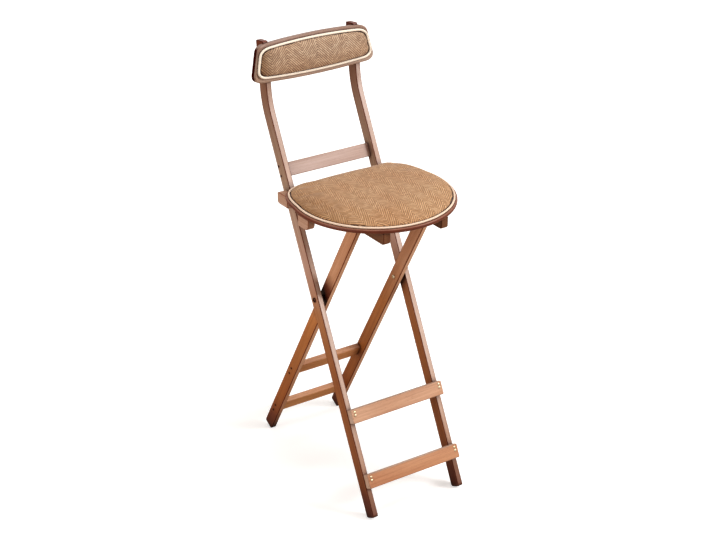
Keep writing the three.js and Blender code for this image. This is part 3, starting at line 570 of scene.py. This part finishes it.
def back_outline(side_inset, top_inset, bottom_inset):
    half = BACK_HALF_WIDTH - side_inset
    top = BACK_HEIGHT - top_inset
    low = bottom_inset

    def side_at(height):
        return half - SIDE_TAPER * height

    flat, flat_height = side_at(low) - LOWER_REACH, low + SAG
    lower = flat_height + 2 * SAG / flat * (side_at(flat_height) - flat)
    lower_end, upper_start = low + LOWER_RISE, top - UPPER_DROP
    shoulder = (half - UPPER_REACH, top - ARCH)
    upper = shoulder[1] - 2 * ARCH / shoulder[0] * (side_at(shoulder[1]) - shoulder[0])
    points = bezier([(-flat, flat_height), (0, low - SAG), (flat, flat_height)], 32)
    right = bezier([(flat, flat_height), (side_at(lower), lower), (side_at(lower_end), lower_end)], 10)
    right += bezier([(side_at(lower_end), lower_end), (side_at(upper_start), upper_start)], 5)
    right += bezier([(side_at(upper_start), upper_start), (side_at(upper), upper), shoulder], 10)
    right.append(Vector(shoulder))
    arch_points = bezier([shoulder, (0, top + ARCH), (-shoulder[0], shoulder[1])], 28)
    left = [Vector((-p.x, p.y)) for p in reversed(right)]
    return points + right + arch_points[1:] + left[:-1]


BOARD_ROUNDS = ((BOARD_HIGH, 3.0), (BOARD_LOW, 5.5))


# The seat board: a slab with its upper edge softened and its lower edge turned well under
def seat_slab():
    points = seat_outline(BOARD_OVERHANG)
    bm = bmesh.new()
    ring = [bm.verts.new(Vector((p.x * MM, p.y * MM + SEAT_CENTRE.y, BOARD_LOW * MM))) for p in points]
    sole = bm.faces.new(ring)
    raised = bmesh.ops.extrude_face_region(bm, geom=[sole])["geom"]
    top = [v for v in raised if isinstance(v, bmesh.types.BMVert)]
    bmesh.ops.translate(bm, vec=Vector((0, 0, (BOARD_HIGH - BOARD_LOW) * MM)), verts=top)
    bmesh.ops.recalc_face_normals(bm, faces=bm.faces)
    for height, radius in BOARD_ROUNDS:
        rim = [e for e in bm.edges if all(abs(v.co.z - height * MM) < 0.1 * MM for v in e.verts)]
        break_edges(bm, rim, radius, 5)
    smooth_by_angle(bm, 40)
    mesh = mesh_from(bm, "seat_board_timber")
    place_piece("seat_board_timber", mesh, seat_wood, "seat", ["seat_board"])


# A round cord swept along a closed outline
def cord(name, material, points, radius, turn, body, nodes):
    curve = bpy.data.curves.new(name, "CURVE")
    curve.dimensions = "3D"
    curve.bevel_depth = radius * MM
    curve.bevel_resolution = 4
    spline = curve.splines.new("POLY")
    spline.points.add(len(points) - 1)
    for target, point in zip(spline.points, points):
        target.co = (point.x * MM, point.y * MM, radius * MM, 1)
    spline.use_cyclic_u = True
    holder = new_object(name + "_path", curve)
    bpy.context.view_layer.update()
    mesh = evaluated(holder)
    bpy.data.objects.remove(holder)
    mesh.transform(turn)
    bm = bmesh.new()
    bm.from_mesh(mesh)
    bmesh.ops.remove_doubles(bm, verts=bm.verts, dist=0.01 * MM)
    bmesh.ops.recalc_face_normals(bm, faces=bm.faces)
    smooth_by_angle(bm, 60)
    bm.to_mesh(mesh)
    bm.free()
    place_piece(name, mesh, material, body, nodes)


seat_slab()
on_seat = Matrix.Translation(SEAT_CENTRE)
# drawn in the board's plane, with the pad towards the sitter
back_start = Vector((0, BACK_FRONT, BACK_BOTTOM)) * MM
on_back = post_turn @ Matrix.Translation(back_start) @ Matrix.Rotation(math.radians(90), 4, "X")
seat_path, back_path = seat_outline(-SEAT_CORD_INSET), back_outline(*BACK_CORD_INSETS)
cord("seat_piping_cord", seat_cotton, seat_path, SEAT_CORD_RADIUS, on_seat, "seat", ["seat_piping"])
cord("backrest_piping_cord", back_cotton, back_path, BACK_CORD_RADIUS, on_back, "rail_frame",
     ["backrest_piping"])


# ---------------------------------------------------------------- stuffed pads
HELD_HEIGHT, LYING = 5, 0.6
CLOTH_FRAMES, SMOOTHINGS = 20, 4


# The cover is blown up a little from the drawn form, and no further than cap, with the part within
# HELD_HEIGHT of its board held; then it is smoothed, and its underside, all within LYING, laid flat
def stuffed(node, name, material, body, base, up, voxel, cap):
    piece = new_object(name, mesh_from(merged_copy(node), name))
    remesh = piece.modifiers.new("even_mesh", "REMESH")
    remesh.mode = "VOXEL"
    remesh.voxel_size = voxel * MM
    bpy.context.view_layer.update()
    drawn = evaluated(piece)
    piece.modifiers.clear()
    piece.data = drawn
    start = [v.co.copy() for v in drawn.vertices]
    held = piece.vertex_groups.new(name="held")
    for vertex in drawn.vertices:
        if (vertex.co - base).dot(up) < HELD_HEIGHT * MM:
            held.add([vertex.index], 1.0, "REPLACE")
    cloth = piece.modifiers.new("cover", "CLOTH")
    settings = cloth.settings
    settings.quality = 4
    settings.mass = 0.2
    settings.tension_stiffness = 40
    settings.compression_stiffness = 40
    settings.shear_stiffness = 20
    settings.bending_stiffness = 2
    settings.use_pressure = True
    settings.uniform_pressure_force = 4
    settings.vertex_group_mass = "held"
    settings.effector_weights.gravity = 0
    for number in range(1, CLOTH_FRAMES + 1):
        bpy.context.scene.frame_set(number)
    blown = evaluated(piece)
    piece.modifiers.clear()
    piece.vertex_groups.clear()
    piece.data = blown
    bpy.context.scene.frame_set(1)
    for vertex, before in zip(blown.vertices, start):
        move = vertex.co - before
        if move.length > cap * MM:
            vertex.co = before + move.normalized() * cap * MM
    bm = bmesh.new()
    bm.from_mesh(piece.data)
    all_axes = {"use_axis_x": True, "use_axis_y": True, "use_axis_z": True}
    for _ in range(SMOOTHINGS):
        bmesh.ops.smooth_vert(bm, verts=bm.verts, factor=0.5, **all_axes)
    underside = [v for v in bm.verts if (v.co - base).dot(up) < LYING * MM]
    for vertex in underside:
        vertex.co -= up * (vertex.co - base).dot(up)
    smooth_by_angle(bm, 180)
    bm.to_mesh(piece.data)
    bm.free()
    finer = piece.modifiers.new("finer", "SUBSURF")
    finer.levels = 1
    finer.render_levels = 1
    piece.data.materials.clear()
    piece.data.materials.append(material)
    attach(piece, body)
    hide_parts(node)


stuffed("seat_cushion", "seat_pad_cover", seat_cloth, "seat", SEAT_CENTRE, Vector((0, 0, 1)),
        voxel=4.5, cap=5)
back_base = post_turn @ back_start
back_up = (post_turn.to_3x3() @ Vector((0, -1, 0))).normalized()
stuffed("backrest_pad", "backrest_pad_cover", back_cloth, "rail_frame", back_base, back_up,
        voxel=3.5, cap=3)


# ---------------------------------------------------------------- screws and bolts
DOME = ((1, 0.35), (0.92, 0.62), (0.72, 0.86), (0.4, 0.98))  # shares of a head's radius and height


# A turned head with a driving recess: drawn along +Z, its underside at z = 0. The recess is made of
# slots, written as length, width and depth, or of hexagons, written as radius and depth
def head_mesh(name, radius, height, shank, length, recess):
    bm = bmesh.new()
    profile = [(0, -length), (shank, -length + shank), (shank, 0), (radius, 0)]
    profile += [(radius * out, height * rise) for out, rise in DOME] + [(0, height)]
    verts = [bm.verts.new((x * MM, 0, z * MM)) for x, z in profile]
    edges = [bm.edges.new(pair) for pair in zip(verts, verts[1:])]
    around = {"cent": (0, 0, 0), "axis": (0, 0, 1), "angle": math.tau, "steps": 24}
    bmesh.ops.spin(bm, geom=verts + edges, use_merge=True, **around)
    bmesh.ops.remove_doubles(bm, verts=bm.verts, dist=0.001 * MM)
    bmesh.ops.recalc_face_normals(bm, faces=bm.faces)
    holder = new_object(name, mesh_from(bm, name))
    cutters = []
    for index, size in enumerate(recess):
        bm = bmesh.new()
        if len(size) == 2:
            hexagon, depth = size
            bmesh.ops.create_cone(bm, cap_ends=True, cap_tris=False, segments=6,
                                  radius1=hexagon * MM, radius2=hexagon * MM, depth=2 * depth * MM)
        else:
            long, wide, depth = size
            bmesh.ops.create_cube(bm, size=1.0)
            bmesh.ops.scale(bm, vec=Vector((long, wide, 2 * depth)) * MM, verts=bm.verts)
        bmesh.ops.translate(bm, vec=Vector((0, 0, height)) * MM, verts=bm.verts)
        cutter = new_object(f"{name}_cutter_{index}", mesh_from(bm, name + "_cutter"))
        cutters.append(cutter)
        cut = holder.modifiers.new("recess", "BOOLEAN")
        cut.object = cutter
        cut.operation = "DIFFERENCE"
        cut.solver = "EXACT"
    bpy.context.view_layer.update()
    made = evaluated(holder)
    for extra in [holder, *cutters]:
        bpy.data.objects.remove(extra)
    bm = bmesh.new()
    bm.from_mesh(made)
    bmesh.ops.remove_doubles(bm, verts=bm.verts, dist=0.001 * MM)
    smooth_by_angle(bm, 40)
    bm.to_mesh(made)
    bm.free()
    return made


CROSS = [(3.0, 0.7, 0.7), (0.7, 3.0, 0.7)]
# radius and height of the head, radius and length of the shank
screw = head_mesh("screw", 3.1, 1.1, 1.6, 25.0, CROSS)
back_screw = head_mesh("back_screw", 3.1, 1.1, 1.6, 37.0, CROSS)
bolt = head_mesh("bolt", 6.2, 3.6, 3.9, 40.0, [(2.6, 2.6)])
barrel_nut = head_mesh("barrel_nut", 5.2, 3.4, 3.8, 4.0, [(2.2, 1.2)])


def set_fastener(master, steel, node, point, direction, body):
    turn = Vector((0, 0, 1)).rotation_difference(direction).to_matrix().to_4x4()
    mesh = master.copy()
    mesh.transform(Matrix.Translation(point) @ turn)
    place_piece(node + "_turned", mesh, steel, body, [node])


def at(turn, x, y, z):
    return turn @ (Vector((x, y, z)) * MM)


# Heights along rail and leg, how far the front rungs and some screws lie before or behind the middle
# of the plank, and where the two screws of each pair sit
FRONT_RUNGS = {"upper": RAIL_FOOT + 250.5, "lower": RAIL_FOOT + 88.4}
REAR_RUNGS = {"upper": LEG_FOOT + 240.9, "lower": LEG_FOOT + 72.4}
SLAT, SEAT_BOLT = 320.8, 260.7
RUNG_SCREW_ACROSS, RUNG_DEPTH = 125, 19.9
LEG_SCREW_BEHIND, SLAT_SCREW_BEHIND = 3.6, 9
FRONT_RUNG_PAIR = (("upper", 10.6), ("lower", 2.5))
REAR_RUNG_PAIR = (("upper", 10.5), ("lower", -10.5))
SLAT_PAIR = (("upper", 12.1), ("lower", -12.1))
BOARD_PAIR = (("upper", 74), ("lower", 31))
rail_front = (rail_turn.to_3x3() @ Vector((0, -1, 0))).normalized()
post_rear = (post_turn.to_3x3() @ Vector((0, 1, 0))).normalized()
for side, sign in (("left", -1), ("right", 1)):
    outward = Vector((sign, 0, 0))
    rail_side, leg_side = sign * (RAIL_OUTSIDE + GAP), sign * (LEG_OUTSIDE + GAP)
    for level in ("upper", "lower"):
        for place, rise in FRONT_RUNG_PAIR:
            point = at(rail_turn, sign * RUNG_SCREW_ACROSS, -RAIL_HALF - RUNG_DEPTH, FRONT_RUNGS[level] + rise)
            node = f"{side}_{level}_front_rung_screw_{place}"
            set_fastener(screw, yellow_steel, node, point, rail_front, "rail_frame")
        for place, rise in REAR_RUNG_PAIR:
            point = at(leg_turn, leg_side, LEG_SCREW_BEHIND, REAR_RUNGS[level] + rise)
            node = f"{side}_{level}_rear_rung_screw_{place}"
            set_fastener(screw, black_steel, node, point, outward, "rear_legs")
    for place, rise in SLAT_PAIR:
        point = at(rail_turn, rail_side, SLAT_SCREW_BEHIND, SLAT + rise)
        set_fastener(screw, black_steel, f"{side}_back_slat_screw_{place}", point, outward, "rail_frame")
    for place, rise in BOARD_PAIR:
        point = at(post_turn, sign * RAIL_MIDDLE, RAIL_HALF + GAP, BACK_BOTTOM + rise)
        set_fastener(back_screw, black_steel, f"{side}_backrest_screw_{place}", point, post_rear, "rail_frame")
    point = at(rail_turn, rail_side, 0, 0)
    set_fastener(bolt, black_steel, side + "_cross_bolt", point, outward, "rail_frame")
    point = at(leg_turn, leg_side, 0, SEAT_BOLT)
    set_fastener(bolt, black_steel, side + "_seat_bolt", point, outward, "seat")
    point = at(leg_turn, sign * (LEG_INSIDE - GAP), 0, 0)
    set_fastener(barrel_nut, yellow_steel, side + "_cross_nut", point, -outward, "rail_frame")
    point = at(leg_turn, sign * (BATTEN_INSIDE - GAP), 0, SEAT_BOLT)
    set_fastener(barrel_nut, yellow_steel, side + "_seat_nut", point, -outward, "seat")


# Sleeves and pins keep their drawn shapes, with their edges broken
def turned(node, body):
    bm = merged_copy(node)
    sharp = [e for e in bm.edges if e.is_manifold and e.calc_face_angle(0) > math.radians(50)]
    break_edges(bm, sharp, 0.4, 2)
    smooth_by_angle(bm, 35)
    place_piece(node + "_turned", mesh_from(bm, node + "_turned"), black_steel, body, [node])


for side in ("left", "right"):
    turned(side + "_cross_sleeve", "rail_frame")
    turned(side + "_seat_support_pin", "rail_frame")
    turned(side + "_seat_sleeve", "seat")


# ---------------------------------------------------------------- floor, light and camera
# the floor looks white to the camera, and throws less light back at the stool
floor_material, tree = start_material("pale_floor")
seen = add(tree, "ShaderNodeLightPath", out="Is Camera Ray")
tone = add(tree, "ShaderNodeMix", {0: seen, 6: colour("#a89484"), 7: colour("#f4f4f4")}, **LAY)
paint = add(tree, "ShaderNodeBsdfDiffuse", {"Color": tone})
# the far floor is lifted to white, the shadow by the feet is kept
away = add(tree, "ShaderNodeTexCoord", out="Object")
away = add(tree, "ShaderNodeVectorMath", [away], out="Value", operation="LENGTH")
away = {"Value": away, "From Min": 0.5, "From Max": 3.0, "To Min": 0.45, "To Max": 1.0}
away = add(tree, "ShaderNodeMapRange", away)
glow = add(tree, "ShaderNodeMath", [seen, away], operation="MULTIPLY")
glow = add(tree, "ShaderNodeEmission", {"Color": (1, 1, 1, 1), "Strength": glow})
add(tree, "ShaderNodeOutputMaterial", {"Surface": add(tree, "ShaderNodeAddShader", [paint, glow])})
bm = bmesh.new()
bmesh.ops.create_grid(bm, x_segments=2, y_segments=2, size=20)
floor_mesh = mesh_from(bm, "floor")
floor_mesh.materials.append(floor_material)
floor = new_object("floor", floor_mesh)

# the room looks white to the camera and in the lacquer, and lights the stool with this share of it
FILL = 0.34
world = bpy.data.worlds.new("studio")
bpy.context.scene.world = world
world.use_nodes = True
tree = world.node_tree
tree.nodes.clear()
seen = add(tree, "ShaderNodeLightPath", out="Is Camera Ray")
mirrored = add(tree, "ShaderNodeLightPath", out="Is Glossy Ray")
passed = add(tree, "ShaderNodeLightPath", out="Is Transmission Ray")
direct = add(tree, "ShaderNodeMath", [seen, mirrored], operation="MAXIMUM")
direct = add(tree, "ShaderNodeMath", [direct, passed], operation="MAXIMUM")
strength = add(tree, "ShaderNodeMath", [direct, 1 - FILL, FILL], operation="MULTIPLY_ADD")
# the room gives back a slightly warm light
air = add(tree, "ShaderNodeMix", {0: direct, 6: colour("#ffeedd"), 7: (1, 1, 1, 1)}, **LAY)
sky = add(tree, "ShaderNodeBackground", {"Color": air, "Strength": strength})
add(tree, "ShaderNodeOutputWorld", {"Surface": sky})


def softbox(name, place, size, power):
    light = bpy.data.lights.new(name, "AREA")
    light.shape = "DISK"
    light.size = size
    light.energy = power
    lamp = new_object(name, light)
    lamp.location = place
    lamp.rotation_mode = "QUATERNION"
    lamp.rotation_quaternion = (AIM - Vector(place)).to_track_quat("-Z", "Y")


# all aimed at the middle of the stool; sizes in metres, powers in watts
AIM = Vector((0, 0, 0.6))
softbox("key", (2.4, -2.6, 2.4), 1.6, 112)
softbox("top", (0.3, -0.6, 4.2), 1.8, 54)
softbox("side", (-3.3, -0.4, 1.2), 2.2, 52)

# The photograph's camera: 34.07 degrees to the left of the front, 25.82 above
AZIMUTH, ELEVATION, ROLL = math.radians(34.065), math.radians(25.820), math.radians(0.335)
TARGET = Vector((22.311, 34.723, 513.407)) * MM
DISTANCE = 4387.05 * MM
level_part = math.cos(ELEVATION)
towards = Vector((-math.sin(AZIMUTH) * level_part, -math.cos(AZIMUTH) * level_part, math.sin(ELEVATION)))
camera_data = bpy.data.cameras.new("camera")
camera_data.sensor_width = 36
camera_data.lens = 89.296
camera = new_object("camera", camera_data)
camera.rotation_mode = "QUATERNION"
camera.location = TARGET + towards * DISTANCE
upright = (-towards).to_track_quat("-Z", "Y")
camera.rotation_quaternion = upright @ Matrix.Rotation(ROLL, 3, "Z").to_quaternion()
camera_data.clip_end = 60
bpy.context.scene.camera = camera
bpy.context.scene.view_settings.view_transform = "Standard"
